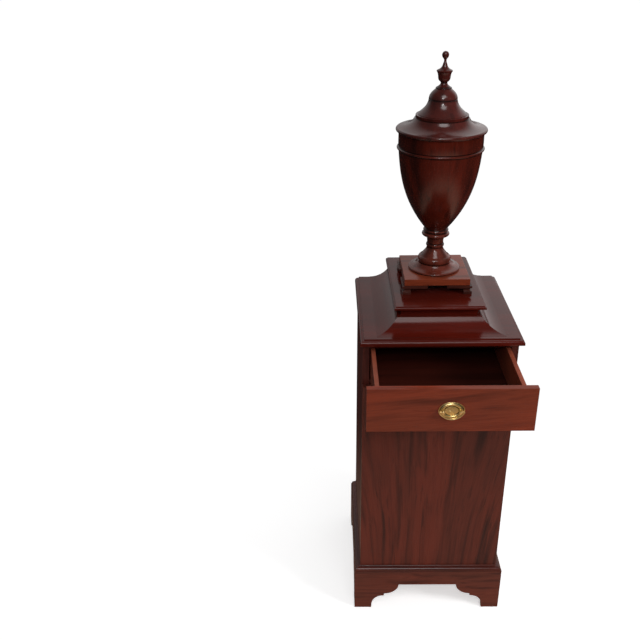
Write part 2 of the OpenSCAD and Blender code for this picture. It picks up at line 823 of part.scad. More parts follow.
// Bell of the lid: spigot, hollow sweep, incised line and round shoulder, bored for stem and finial
module lid_bell() {
    top_r = 19;
    line = 0.8;
    spigot = 8;
    seat_r = bell_r - lid_wall - seat_gap;
    sweep = curve([bell_r, 1], [bell_r - 11, 11], [shoulder_r + 2, shoulder_z - 18],
                  [shoulder_r, shoulder_z - line], 10);
    crown = curve([shoulder_r, shoulder_z + line], [shoulder_r - 1, shoulder_z + 12],
                  [top_r + 9, bell_h - 7], [top_r, bell_h], 10);
    color(MAHOGANY) difference() {
        translate([0, 0, bell_z])
            turned(concat([[0, -spigot], [seat_r, -spigot], [seat_r, 0], [bell_r, 0]], sweep,
                          [[shoulder_r - line, shoulder_z]], crown, [[0, bell_h]]));
        translate([0, urn_y, 0]) {
            translate([0, 0, bell_z - 2 * spigot])
                cylinder(r = stem_r + seat_gap, h = 2 * spigot + shoulder_z + seat_gap, $fn = 48);
            translate([0, 0, finial_z - finial_pin_l - seat_gap])
                cylinder(r = finial_pin_r + seat_gap, h = 2 * finial_pin_l, $fn = 48);
        }
    }
}

// Finial: spread foot, thin neck, vase with a lip, hollow cone and a ball
module lid_finial() {
    foot_r = 18.5;
    lip_z = finial_h * 0.49;
    neck_r = 3;
    ball_z = finial_h - ball_r;
    color(MAHOGANY) translate([0, 0, finial_z])
        turned(concat([[0, -finial_pin_l], [finial_pin_r, -finial_pin_l], [finial_pin_r, 0], [foot_r, 0]],
                      arc([foot_r, 1.5], 1.5, -90, 90, 6),
                      curve([foot_r - 1, 3], [15, 6.5], [8.2, 8], [8.2, 14], 8),
                      curve([8.2, 15], [14.5, 19], [15, 23], [15.4, 29], 8),
                      curve([15.4, 29], [15.8, 33], [16.5, 36], [vase_r - 1.5, lip_z - 4], 5),
                      [[vase_r, lip_z - 2.5], [vase_r, lip_z - 0.5]],
                      curve([vase_r - 1, lip_z + 0.5], [8, lip_z + 5], [6.8, lip_z + 9], [5.2, lip_z + 15], 8),
                      curve([5.2, lip_z + 15], [neck_r, lip_z + 21], [neck_r, ball_z - 16],
                            [neck_r, ball_z - ball_r - 4], 5),
                      curve([neck_r, ball_z - ball_r - 4], [neck_r, ball_z - ball_r], [ball_r - 1, ball_z - ball_r + 1],
                            [ball_r * cos(20), ball_z - ball_r * sin(20)], 6),
                      arc([0, ball_z], ball_r, -10, 90, 12)));
}

// The catch's pin line, across the stem
module catch_line(r, l) {
    translate([0, urn_y + catch_y, catch_z]) rotate([0, 90, 0]) cylinder(r = r, h = l, center = true, $fn = 32);
}

module lid_stem() {
    top = bell_z + shoulder_z;
    pocket_w = catch_t + 2 * slide_gap;
    color(MAHOGANY) difference() {
        translate([0, urn_y, lid_z - stem_l]) cylinder(r = stem_r, h = top - lid_z + stem_l, $fn = 48);
        block([-pocket_w / 2, urn_y - stem_r - 1, catch_z - catch_l - 1],
              [pocket_w / 2, urn_y + catch_y + catch_t, catch_z + catch_t + 1]);
        catch_line(catch_pin_r + seat_gap, 4 * stem_r);
    }
}

// Catch: a flat pawl that hangs in the stem's pocket and swings out over the guide
module lid_catch() {
    color(BRASS) difference() {
        union() {
            translate([0, urn_y + catch_y, catch_z]) rotate([0, 90, 0])
                cylinder(r = catch_t / 2 + 0.4, h = catch_t, center = true, $fn = 32);
            translate([0, urn_y + catch_y, catch_z - catch_l / 2])
                cube([catch_t, catch_t, catch_l], center = true);
        }
        catch_line(catch_pin_r + pin_gap, 2 * catch_t);
    }
}

module catch_pin() {
    color(BRASS) catch_line(catch_pin_r, stem_r);
}

base_front();
base_left();
base_right();
base_back();
base_blocks();
base_moulding_front();
base_moulding_left();
base_moulding_right();
case_left();
case_right();
case_back();
case_bottom();
front_panel();
drawer_rail();
top_rail();
drawer_runners();
drawer_kickers();
top_board();
cove_front();
cove_left();
cove_right();
cap_core();
cap_slab();
drawer_front();
drawer_left();
drawer_right();
drawer_back();
drawer_bottom();
pull_plate();
pull_posts();
pull_nuts();
pull_bail();
urn_feet();
urn_plinth();
urn_socle();
urn_bowl();
urn_band();
tier_low();
tier_middle();
tier_upper();
drum_low();
drum_upper();
stem_guide();
lid_cover();
lid_bell();
lid_finial();
lid_stem();
lid_catch();
catch_pin();
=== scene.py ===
import json
import math

import bmesh
import bpy
from mathutils import Matrix, Vector

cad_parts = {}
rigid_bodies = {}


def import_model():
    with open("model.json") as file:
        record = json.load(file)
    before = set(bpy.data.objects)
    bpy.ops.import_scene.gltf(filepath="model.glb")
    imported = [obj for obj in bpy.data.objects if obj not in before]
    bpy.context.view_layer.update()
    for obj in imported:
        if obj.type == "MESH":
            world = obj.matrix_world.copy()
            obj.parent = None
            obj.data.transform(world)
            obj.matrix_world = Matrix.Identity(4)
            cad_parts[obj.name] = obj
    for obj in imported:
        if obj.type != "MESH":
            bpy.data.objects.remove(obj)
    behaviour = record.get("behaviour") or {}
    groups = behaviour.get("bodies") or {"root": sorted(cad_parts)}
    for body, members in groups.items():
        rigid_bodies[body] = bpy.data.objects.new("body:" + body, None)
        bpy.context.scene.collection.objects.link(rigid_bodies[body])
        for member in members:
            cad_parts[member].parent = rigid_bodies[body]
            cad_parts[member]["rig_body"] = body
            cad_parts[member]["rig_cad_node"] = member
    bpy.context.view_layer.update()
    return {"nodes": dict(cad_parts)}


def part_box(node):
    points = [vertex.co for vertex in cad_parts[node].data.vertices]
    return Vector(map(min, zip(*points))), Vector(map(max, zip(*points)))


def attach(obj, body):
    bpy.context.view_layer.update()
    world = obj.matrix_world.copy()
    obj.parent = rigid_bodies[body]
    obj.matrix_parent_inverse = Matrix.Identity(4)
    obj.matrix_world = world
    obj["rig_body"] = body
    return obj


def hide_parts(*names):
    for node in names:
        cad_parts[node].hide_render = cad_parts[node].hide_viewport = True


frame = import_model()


# Bracket base: three mahogany boards, sawn to ogee brackets and mitred at the
# front corners, with a plain rail behind and glue blocks inside the corners.
# The boards' long grain runs level, and their arrises are rubbed round.
def srgb(red, green, blue):
    """A colour as it looks on a screen, 0 to 255, as linear light."""
    def channel(value):
        value /= 255
        return value / 12.92 if value <= 0.04045 else ((value + 0.055) / 1.055) ** 2.4
    return (channel(red), channel(green), channel(blue), 1)


def add(tree, kind, **settings):
    """A new node with its settings; names that start with in_ set the sockets by place."""
    made = tree.nodes.new(kind)
    for key, value in settings.items():
        if key.startswith("in_"):
            made.inputs[int(key[3:])].default_value = value
        else:
            setattr(made, key, value)
    return made


def feed(tree, value, socket):
    """Gives a socket a fixed value or what another node puts out."""
    if hasattr(value, "is_output"):
        tree.links.new(value, socket)
    else:
        socket.default_value = value


def remap(tree, value, low, high, to_low, to_high, soft=True):
    """A value spread from one range to another, with soft or straight ends."""
    made = add(tree, "ShaderNodeMapRange", in_1=low, in_2=high, in_3=to_low, in_4=to_high)
    made.interpolation_type = "SMOOTHSTEP" if soft else "LINEAR"
    tree.links.new(value, made.inputs[0])
    return made.outputs[0]


def figured(tree, first, second, how):
    """Two values joined by a sum, product and so on."""
    made = add(tree, "ShaderNodeMath", operation=how)
    for place, value in enumerate((first, second)):
        feed(tree, value, made.inputs[place])
    return made.outputs[0]


def vectored(tree, first, second, how):
    """Two vectors joined by a sum, product, distance and so on."""
    made = add(tree, "ShaderNodeVectorMath", operation=how)
    for place, value in enumerate((first, second)):
        feed(tree, value, made.inputs[place])
    return made.outputs["Value" if how == "DISTANCE" else "Vector"]


def blended(tree, first, second, amount, how="MIX"):
    """Two colours mixed by an amount."""
    made = add(tree, "ShaderNodeMix", data_type="RGBA", blend_type=how)
    for value, place in ((amount, 0), (first, 6), (second, 7)):
        feed(tree, value, made.inputs[place])
    return made.outputs[2]


def speckle(tree, vector, scale, detail=2, rough=0.5, distortion=0.0, kind="Fac"):
    """A cloudy value or colour over some coordinates."""
    made = add(tree, "ShaderNodeTexNoise", in_3=detail, in_4=rough)
    made.inputs["Distortion"].default_value = distortion
    tree.links.new(vector, made.inputs["Vector"])
    feed(tree, scale, made.inputs["Scale"])
    return made.outputs[kind]


def figure_group():
    """Mahogany along Z: red and brown patches, dark streaks, thin lines, fibres and pores."""
    tree = bpy.data.node_groups.new("mahogany_figure", "ShaderNodeTree")
    for label, kind in (("Vector", "Vector"), ("Light", "Color"), ("Dark", "Color"),
                        ("Streaks", "Float"), ("Contrast", "Float"), ("Polish", "Float")):
        tree.interface.new_socket(name=label, in_out="INPUT", socket_type="NodeSocket" + kind)
    for label, kind in (("Color", "Color"), ("Roughness", "Float"), ("Height", "Float")):
        tree.interface.new_socket(name=label, in_out="OUTPUT", socket_type="NodeSocket" + kind)
    given = tree.nodes.new("NodeGroupInput").outputs
    result = tree.nodes.new("NodeGroupOutput").inputs

    def along(share):
        """Coordinates drawn out along the grain."""
        return vectored(tree, given["Vector"], (1, 1, share), "MULTIPLY")

    sway_scale, sway_reach, half = 5.0, 0.04, 0.5
    sway = speckle(tree, along(0.5), sway_scale, kind="Color")
    sway = vectored(tree, sway, (half, half, half), "SUBTRACT")
    sway = vectored(tree, sway, (sway_reach, sway_reach, sway_reach), "MULTIPLY")
    grain = vectored(tree, along(0.09), sway, "ADD")

    lines_to_streaks = 2.7
    soft = speckle(tree, grain, given["Streaks"], 2, 0.5, 0.3)
    soft = remap(tree, soft, 0.44, 0.74, 0, 1)
    line_scale = figured(tree, given["Streaks"], lines_to_streaks, "MULTIPLY")
    line = speckle(tree, grain, line_scale, 3, 0.6, 0.4)
    line = remap(tree, line, 0.52, 0.76, 0, 0.7)
    streak = figured(tree, figured(tree, soft, line, "MAXIMUM"), given["Contrast"], "MULTIPLY")
    patch_scale, fibre_scale, pore_scale = 8.0, 420.0, 1150.0
    patch = remap(tree, speckle(tree, along(0.3), patch_scale), 0.34, 0.66, 0, 1)
    fibre = remap(tree, speckle(tree, along(0.022), fibre_scale, 3, 0.7), 0.25, 0.75, 0.84, 1.13)
    pore = remap(tree, speckle(tree, along(0.05), pore_scale, 1), 0.62, 0.76, 0, 1)

    brown_tint, red_tint = (0.84, 0.90, 0.94, 1), (1.14, 1.03, 0.98, 1)
    pore_colour, pore_depth = (0.006, 0.002, 0.001, 1), 0.4
    colour = blended(tree, given["Light"], given["Dark"], streak)
    colour = blended(tree, colour, blended(tree, brown_tint, red_tint, patch), 1.0, "MULTIPLY")
    grey = add(tree, "ShaderNodeCombineColor")
    for channel in grey.inputs:
        tree.links.new(fibre, channel)
    colour = blended(tree, colour, grey.outputs[0], 1.0, "MULTIPLY")
    colour = blended(tree, colour, pore_colour, figured(tree, pore, pore_depth, "MULTIPLY"))
    tree.links.new(colour, result["Color"])
    patch_rough, pore_rough, fibre_height = 0.06, 0.12, 0.5
    rough = figured(tree, figured(tree, patch, patch_rough, "MULTIPLY"), given["Polish"], "ADD")
    rough = figured(tree, rough, figured(tree, pore, pore_rough, "MULTIPLY"), "ADD")
    tree.links.new(rough, result["Roughness"])
    height = figured(tree, figured(tree, fibre, fibre_height, "MULTIPLY"), pore, "SUBTRACT")
    tree.links.new(height, result["Height"])
    return tree


mahogany_figure = figure_group()
TURN = {"x": (0, math.pi / 2, 0), "y": (math.pi / 2, 0, 0), "z": (0, 0, 0)}


def wood(name, light, dark, grain, shift=(0, 0, 0), tilt=0.0, streaks=45.0, contrast=0.8,
         polish=0.16, gloss=0.15, warp=None, waxed_and_shaded=None):
    """A polished wood with its grain along one axis, cut from its own place in the log."""
    material = bpy.data.materials.new(name)
    material.use_nodes = True
    tree = material.node_tree
    shader = tree.nodes["Principled BSDF"]
    place = add(tree, "ShaderNodeMapping")
    turn = list(TURN[grain])
    turn[1] += math.radians(tilt)
    place.inputs["Rotation"].default_value = turn
    place.inputs["Location"].default_value = shift
    spot = add(tree, "ShaderNodeTexCoord").outputs["Object"]
    tree.links.new(warp(tree, spot) if warp else spot, place.inputs["Vector"])
    figure = add(tree, "ShaderNodeGroup", node_tree=mahogany_figure)
    tree.links.new(place.outputs[0], figure.inputs["Vector"])
    for label, value in (("Light", srgb(*light)), ("Dark", srgb(*dark)), ("Streaks", streaks),
                         ("Contrast", contrast), ("Polish", polish)):
        figure.inputs[label].default_value = value
    bump = add(tree, "ShaderNodeBump")
    bump.inputs["Strength"].default_value = 0.06
    bump.inputs["Distance"].default_value = 0.0002
    tree.links.new(figure.outputs["Height"], bump.inputs["Height"])
    tree.links.new(bump.outputs[0], shader.inputs["Normal"])
    colour = figure.outputs["Color"]
    # Old wax and painted shade: a near-black brown laid over the hollow rings.
    if waxed_and_shaded:
        wax_and_shade_colour = srgb(20, 9, 7)
        colour = blended(tree, colour, wax_and_shade_colour, waxed_and_shaded(tree, spot))
    tree.links.new(colour, shader.inputs["Base Color"])
    tree.links.new(figure.outputs["Roughness"], shader.inputs["Roughness"])
    shader.inputs["Specular IOR Level"].default_value = gloss
    return material


NEAR = 1e-5
SHARP = math.radians(32)


def from_solid(node, name):
    """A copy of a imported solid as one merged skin, ready to be worked on."""
    solid = frame["nodes"][node]
    bpy.ops.object.select_all(action="DESELECT")
    solid.select_set(True)
    bpy.context.view_layer.objects.active = solid
    bpy.ops.object.duplicate()
    piece = bpy.context.object
    piece.name = piece.data.name = name
    piece.parent = None
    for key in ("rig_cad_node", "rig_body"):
        del piece[key]
    bpy.ops.object.mode_set(mode="EDIT")
    bpy.ops.mesh.select_all(action="SELECT")
    bpy.ops.mesh.remove_doubles(threshold=NEAR)
    bpy.ops.mesh.dissolve_limited(angle_limit=math.radians(0.5))
    bpy.ops.mesh.customdata_custom_splitnormals_clear()
    bpy.ops.object.mode_set(mode="OBJECT")
    return piece


def ease(piece, width, held=None):
    """Rounds the sharp arrises of a piece, but not the edges whose ends are held."""
    bpy.ops.object.mode_set(mode="EDIT")
    bpy.ops.mesh.select_mode(type="EDGE")
    bpy.ops.mesh.select_all(action="DESELECT")
    bpy.ops.mesh.edges_select_sharp(sharpness=SHARP)
    bpy.ops.object.mode_set(mode="OBJECT")
    corner = piece.data.vertices
    for edge in piece.data.edges:
        if edge.select and held and all(held(corner[i].co) for i in edge.vertices):
            edge.select = False
    bpy.ops.object.mode_set(mode="EDIT")
    bpy.ops.mesh.bevel(offset=width, offset_type="OFFSET", segments=2, affect="EDGES",
                       clamp_overlap=True)
    bpy.ops.object.mode_set(mode="OBJECT")
    bpy.ops.object.shade_smooth_by_angle(angle=SHARP)
    bpy.ops.object.modifier_add(type="WEIGHTED_NORMAL")
    flat = piece.modifiers[-1]
    flat.keep_sharp = True
    bpy.ops.object.modifier_apply(modifier=flat.name)


def fit(piece, node, body, material):
    """Gives a piece its finish and puts it in place of its solid."""
    piece.data.materials.clear()
    piece.data.materials.append(material)
    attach(piece, body)
    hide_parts(node)


def dress(node, ending, body, material, arris, held=None):
    """A solid's own shape with its arrises eased and its finish on."""
    piece = from_solid(node, node + ending)
    ease(piece, arris, held)
    fit(piece, node, body, material)


def on_mitre(box):
    """A test for points on the mitres between a front length and the side lengths."""
    low, high = box
    return lambda point: abs((high.x - abs(point.x)) - (point.y - low.y)) < NEAR


base_mitre = on_mitre(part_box("base_front"))
board_arris, sawn_arris = 0.0012, 0.0015
base_light, base_dark = (102, 51, 40), (60, 32, 28)
base_wood = {"x": wood("base_mahogany_front", base_light, base_dark, "x", (0.3, 0.1, 0.2),
                       streaks=55),
             "y": wood("base_mahogany_side", base_light, base_dark, "y", (0.7, 0.4, 0.1),
                       streaks=55, polish=0.5)}
for node, grain in (("base_front", "x"), ("base_left", "y"), ("base_right", "y")):
    dress(node, "_board", "pedestal", base_wood[grain], board_arris, base_mitre)
rough_wood = wood("inner_wood_sawn", (150, 98, 66), (104, 62, 42), "x", (1.3, 0.2, 0.6),
                  streaks=60, contrast=0.6, polish=0.5, gloss=0.1)
for node in ("base_back", "base_blocks"):
    dress(node, "_sawn", "pedestal", rough_wood, sawn_arris)


# Base moulding: three mitred lengths planted on the base boards, with a round
# and a small hollow that catch the light. Same wood, polished brighter.
moulding_arris = 0.0005
moulding_light, moulding_dark = (82, 35, 27), (50, 21, 17)
moulding_wood = {"x": wood("moulding_mahogany_front", moulding_light, moulding_dark, "x",
                           (0.1, 0.6, 0.4), streaks=70, contrast=0.6, polish=0.12, gloss=0.5),
                 "y": wood("moulding_mahogany_side", moulding_light, moulding_dark, "y",
                           (0.5, 0.2, 0.9), streaks=70, contrast=0.6, polish=0.2, gloss=0.4)}
for node, grain in (("base_moulding_front", "x"), ("base_moulding_left", "y"),
                    ("base_moulding_right", "y")):
    dress(node, "_run", "pedestal", moulding_wood[grain], moulding_arris, base_mitre)


# Case: two solid sides with upright grain, a thin back let into their rebates,
# a bottom between them, and the rails, runners and kickers of the drawer.
inner_arris = 0.0006
case_wood = wood("case_mahogany", (96, 43, 34), (54, 26, 22), "z", (0.2, 0.9, 0.3),
                 streaks=36, polish=0.5)
for node in ("case_left", "case_right"):
    dress(node, "_board", "pedestal", case_wood, board_arris)
back_wood = wood("inner_wood_back", (138, 86, 58), (98, 57, 39), "z", (0.4, 0.5, 1.1),
                 streaks=35, contrast=0.7, polish=0.42, gloss=0.1)
inner_wood = wood("inner_wood_planed", (146, 88, 58), (104, 60, 40), "x", (0.9, 0.3, 0.5),
                  streaks=50, contrast=0.6, polish=0.40, gloss=0.1)
rail_wood = wood("rail_mahogany", (84, 36, 27), (46, 20, 16), "x", (0.8, 0.8, 0.1), streaks=60)
for node, slot, material in (("case_back", "inner_wood", back_wood),
                             ("case_bottom", "inner_wood", inner_wood),
                             ("drawer_runners", "inner_wood", inner_wood),
                             ("drawer_kickers", "inner_wood", inner_wood),
                             ("drawer_rail", "mahogany", rail_wood),
                             ("top_rail", "mahogany", rail_wood)):
    dress(node, "_board", "pedestal", material, inner_arris)


# Front panel: one wide board of figured mahogany, glued over the case's front.
# Its dark streaks draw together towards the foot.
def flame(tree, spot):
    """Grain that draws together towards the lower middle of the board."""
    middle, foot, head, tightest = -0.035, 0.1, 0.72, 1.45
    split = add(tree, "ShaderNodeSeparateXYZ")
    tree.links.new(spot, split.inputs[0])
    squeeze = remap(tree, split.outputs["Z"], foot, head, tightest, 1.0)
    across = figured(tree, split.outputs["X"], middle, "SUBTRACT")
    across = figured(tree, across, squeeze, "MULTIPLY")
    join = add(tree, "ShaderNodeCombineXYZ")
    for place, value in enumerate((across, split.outputs["Y"], split.outputs["Z"])):
        tree.links.new(value, join.inputs[place])
    return join.outputs[0]


panel_wood = wood("figured_panel", (99, 46, 36), (52, 31, 28), "z", (0.05, 0.35, 0.15),
                  streaks=31, contrast=0.95, polish=0.2, warp=flame)
dress("front_panel", "_board", "pedestal", panel_wood, board_arris)


# Top and cap: a moulded board, three mitred lengths of cove round a core, and
# a thin moulded slab for the urn. Deep red mahogany with the highest polish.
cap_light, cap_dark = (78, 20, 12), (46, 12, 8)
cap_wood = {axis: wood("cap_mahogany_" + axis, cap_light, cap_dark, axis, shift,
                       streaks=40, contrast=0.5, polish=0.12, gloss=0.32)
            for axis, shift in (("x", (0.6, 0.3, 0.2)), ("y", (0.2, 0.8, 0.7)))}
top_arris, core_arris, slab_arris, cove_arris = 0.0008, 0.0004, 0.0006, 0.0005
cove_mitre = on_mitre(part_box("cove_front"))
for node, grain, arris, held in (("top_board", "x", top_arris, None),
                                 ("cap_core", "x", core_arris, None),
                                 ("cap_slab", "x", slab_arris, None),
                                 ("cove_front", "x", cove_arris, cove_mitre),
                                 ("cove_left", "y", cove_arris, cove_mitre),
                                 ("cove_right", "y", cove_arris, cove_mitre)):
    dress(node, "_polished", "pedestal", cap_wood[grain], arris, held)


# Drawer: a mahogany front with level, slightly rising grain, sides of lighter
# straight-grained wood, and a near-black bottom and back inside.
front_arris, box_arris = 0.0008, 0.0007
front_wood = wood("drawer_front_mahogany", (128, 55, 36), (84, 37, 26), "x", (0.15, 0.25, 0.65),
                  tilt=4, streaks=48, contrast=0.75, polish=0.2)
dress("drawer_front", "_board", "drawer", front_wood, front_arris)
side_wood = wood("drawer_side_wood", (140, 70, 50), (104, 48, 34), "y", (0.35, 0.45, 0.75),
                 streaks=80, contrast=0.6, polish=0.34, gloss=0.12)
# Near-black wood for the drawer's bottom and back.
dark_inside_wood = wood("drawer_dark_inside_wood", (54, 21, 15), (34, 13, 9), "x", (0.65, 0.15, 0.05),
                    streaks=50, contrast=0.7, polish=0.36, gloss=0.1)
for node, slot, material in (("drawer_left", "red_mahogany", side_wood),
                             ("drawer_right", "red_mahogany", side_wood),
                             ("drawer_back", "red_mahogany", dark_inside_wood),
                             ("drawer_bottom", "inner_wood", dark_inside_wood)):
    dress(node, "_board", "drawer", material, box_arris)


# Pull: a stamped oval plate, two posts with nuts behind, and a bail that swings
# on pins in the posts. Cast and stamped brass, lacquered, brown in the hollows.
def brass(name, light, dark, rough, browned=None):
    """Old brass, rubbed bright on the high places and browned in between."""
    cloud_scale, most_stain, dulling = 140.0, 0.35, 0.18
    material = bpy.data.materials.new(name)
    material.use_nodes = True
    tree = material.node_tree
    shader = tree.nodes["Principled BSDF"]
    spot = add(tree, "ShaderNodeTexCoord").outputs["Object"]
    cloud = speckle(tree, spot, cloud_scale, 3)
    stain = remap(tree, cloud, 0.45, 0.8, 0, most_stain)
    if browned:
        stain = figured(tree, stain, browned(tree, spot), "MAXIMUM")
    tree.links.new(blended(tree, srgb(*light), srgb(*dark), stain), shader.inputs["Base Color"])
    dull = remap(tree, cloud, 0.3, 0.8, rough, rough + dulling)
    tree.links.new(dull, shader.inputs["Roughness"])
    shader.inputs["Metallic"].default_value = 1.0
    return material


plate_low, plate_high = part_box("pull_plate")
plate_mid = (plate_low + plate_high) / 2
plate_rx = (plate_high.x - plate_low.x) / 2
plate_rz = (plate_high.z - plate_low.z) / 2
rim_in, ring_out, ring_in, field_out = 0.9, 0.88, 0.56, 0.54
groove_reaches = ((rim_in + ring_out) / 2, (ring_in + field_out) / 2)


def plate_grooves(tree, spot):
    """Brown in the two grooves of the oval plate, and a little over its stamped middle."""
    field_brown, groove_half, groove_fade = 0.05, 0.015, 0.055
    reach = vectored(tree, spot, (plate_mid.x, 0, plate_mid.z), "SUBTRACT")
    reach = vectored(tree, reach, (1 / plate_rx, 0, 1 / plate_rz), "MULTIPLY")
    reach = vectored(tree, reach, (0, 0, 0), "DISTANCE")
    brown = remap(tree, reach, 0.5, 0.56, field_brown, 0)
    for groove in groove_reaches:
        off = figured(tree, figured(tree, reach, groove, "SUBTRACT"), 0.0, "ABSOLUTE")
        brown = figured(tree, brown, remap(tree, off, groove_half, groove_fade, 1, 0), "MAXIMUM")
    return brown


def rolled(outer, inner, low, high, steps):
    """Points over a rolled ring of the plate: share of the oval, height in mm."""
    return [(outer + (inner - outer) * step / steps,
             low + (high - low) * math.sin(math.pi * step / steps))
            for step in range(steps + 1)]


plate_brass = brass("stamped_brass", (255, 224, 154), (72, 46, 22), 0.29, plate_grooves)
cast_brass = brass("cast_brass", (255, 226, 160), (180, 136, 78), 0.27)
bpy.ops.object.select_all(action="DESELECT")
plate_sides = 160
bpy.ops.mesh.primitive_circle_add(vertices=plate_sides, radius=1, fill_type="NGON",
                                  rotation=(math.pi / 2, 0, 0),
                                  location=(plate_mid.x, plate_high.y, plate_mid.z))
plate = bpy.context.object
plate.name = plate.data.name = "pull_plate_stamped"
plate.scale = (plate_rx, plate_rz, 1)
bpy.ops.object.transform_apply(location=True, rotation=True, scale=True)
groove_h, rim_h, ring_h, field_h = 0.8, 2.1, 3.1, 1.6
rim_steps, ring_steps = 6, 10
field_rings, field_in = 7, 0.07
field_edge, field_ease = 0.02, 0.1
plate_line = rolled(1.0, rim_in, groove_h, rim_h, rim_steps)
plate_line += rolled(ring_out, ring_in, groove_h, ring_h, ring_steps)
plate_line += [(field_out, groove_h), (field_out - field_edge, field_h - field_ease)]
plate_line += [(field_in * ring, field_h) for ring in range(field_rings, 0, -1)]
bpy.ops.object.mode_set(mode="EDIT")
bpy.ops.mesh.select_mode(type="FACE")
bpy.ops.mesh.select_all(action="SELECT")
MM = 0.001
reach_now, height_now = 1.0, 0.0
for reach, height in plate_line:
    step = (0, (height_now - height) * MM, 0)
    bpy.ops.mesh.extrude_region_move(TRANSFORM_OT_translate={"value": step})
    shrink = reach / reach_now
    bpy.ops.transform.resize(value=(shrink, 1, shrink), center_override=plate_mid)
    reach_now, height_now = reach, height
bpy.ops.mesh.poke()
bpy.ops.mesh.select_all(action="DESELECT")
bpy.ops.mesh.select_mode(type="EDGE")
bpy.ops.mesh.select_non_manifold()
bpy.ops.mesh.edge_face_add()
bpy.ops.mesh.select_all(action="SELECT")
bpy.ops.mesh.normals_make_consistent(inside=False)
bpy.ops.object.mode_set(mode="OBJECT")
field_share, skin = 0.495, 0.0004
field_rx, field_rz = plate_rx * field_share, plate_rz * field_share
petals, petal_h, petal_end, petal_full = 12, 0.0005, 1.05, 0.7
dome_h, button_share = 0.0006, 0.3
for point in plate.data.vertices:
    dx, dz = (point.co.x - plate_mid.x) / field_rx, (point.co.z - plate_mid.z) / field_rz
    reach = math.hypot(dx, dz)
    if reach < 1 and point.co.y < plate_high.y - skin:
        swell = math.sin(math.pi * min(1, reach * petal_end)) ** petal_full
        petal = (0.5 + 0.5 * math.cos(petals * math.atan2(dz, dx))) * swell
        button = max(0, 1 - (reach / button_share) ** 2)
        point.co.y -= petal_h * petal + dome_h * (0.5 * (1 - reach * reach) + 0.5 * button)
bpy.ops.object.shade_smooth_by_angle(angle=math.radians(50))
fit(plate, "pull_plate", "drawer", plate_brass)
cast_arris = 0.0003
for node, body in (("pull_posts", "drawer"), ("pull_nuts", "drawer"), ("pull_bail", "bail")):
    dress(node, "_cast", body, cast_brass, cast_arris)


# Urn foot: a square plinth of lighter, more orange mahogany, on four cut
# feet with ledges. Glued up square and loose on the slab.
plinth_arris, foot_arris = 0.0018, 0.0004
plinth_wood = wood("plinth_mahogany", (122, 53, 32), (78, 32, 20), "x", (0.45, 0.55, 0.25),
                   streaks=55, contrast=0.7, polish=0.2, gloss=0.25)
foot_wood = wood("plinth_foot_mahogany", (72, 34, 27), (40, 18, 14), "x", (0.25, 0.15, 0.85),
                 streaks=80)
dress("urn_plinth", "_board", "urn", plinth_wood, plinth_arris)
dress("urn_feet", "_cut", "urn", foot_wood, foot_arris)


# Urn: socle, bowl and band, turned from dark mahogany with the grain upright and
# polished on the lathe, with old wax and painted shade dark in the hollows between the rings.
# The bowl is hollow and carries the knife tiers and the brass guide of the stem.
urn_mid = (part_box("urn_band")[0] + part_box("urn_band")[1]) / 2


def turned_piece(node):
    """A turned piece, smooth but for its sharp rings."""
    piece = from_solid(node, node + "_turned")
    bpy.ops.object.shade_smooth_by_angle(angle=SHARP)
    return piece


def hollows(pieces, joints):
    """Radius and height of the sharp hollows of turned pieces, and of joints between them."""
    rings = set(joints)
    for piece in pieces:
        skin = bmesh.new()
        skin.from_mesh(piece.data)
        for edge in skin.edges:
            start, end = (corner.co for corner in edge.verts)
            level = edge.is_manifold and abs(start.z - end.z) < NEAR
            if level and edge.calc_face_angle_signed() < -SHARP:
                rings.add((round((start - urn_mid).xy.length, 3), round(start.z, 3)))
        skin.free()
    return sorted(rings)


def wax_and_shade(rings):
    """Old wax and painted shade, darkest in the hollow rings of turned pieces."""
    thick, gone, most = 0.0005, 0.004, 0.8

    def amount(tree, spot):
        reach = vectored(tree, spot, (urn_mid.x, urn_mid.y, 0), "SUBTRACT")
        reach = vectored(tree, reach, (1, 1, 0), "MULTIPLY")
        reach = vectored(tree, reach, (0, 0, 0), "DISTANCE")
        split = add(tree, "ShaderNodeSeparateXYZ")
        tree.links.new(spot, split.inputs[0])
        section = add(tree, "ShaderNodeCombineXYZ")
        tree.links.new(reach, section.inputs[0])
        tree.links.new(split.outputs["Z"], section.inputs[1])
        nearest = 1.0
        for radius, height in rings:
            gap = vectored(tree, section.outputs[0], (radius, height, 0), "DISTANCE")
            nearest = figured(tree, gap, nearest, "MINIMUM")
        return remap(tree, nearest, thick, gone, most, 0)
    return amount


socle = turned_piece("urn_socle")
socle_wood = wood("socle_mahogany", (104, 43, 31), (58, 23, 16), "z", (0.25, 0.45, 0.15),
                  streaks=40, contrast=0.8, polish=0.16, gloss=0.55,
                  waxed_and_shaded=wax_and_shade(hollows([socle], [])))
fit(socle, "urn_socle", "urn", socle_wood)
bowl, band = turned_piece("urn_bowl"), turned_piece("urn_band")
bowl_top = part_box("urn_bowl")[1]
band_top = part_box("urn_band")[1]
# The hollow rings of bowl and band, and the joints between them, get old wax and painted shade.
urn_rings = hollows([bowl, band], [(bowl_top.x, bowl_top.z), (band_top.x, band_top.z)])
urn_wood = wood("turned_mahogany", (80, 24, 13), (36, 11, 7), "z", (0.55, 0.65, 0.35),
                streaks=26, contrast=0.9, polish=0.16, gloss=0.5, waxed_and_shaded=wax_and_shade(urn_rings))
fit(bowl, "urn_bowl", "urn", urn_wood)
fit(band, "urn_band", "urn", urn_wood)
tier_arris, guide_arris = 0.0004, 0.0003
for node in ("tier_low", "tier_middle", "tier_upper", "drum_low", "drum_upper"):
    dress(node, "_fitted", "urn", side_wood, tier_arris)
dress("stem_guide", "_turned", "urn", cast_brass, guide_arris)


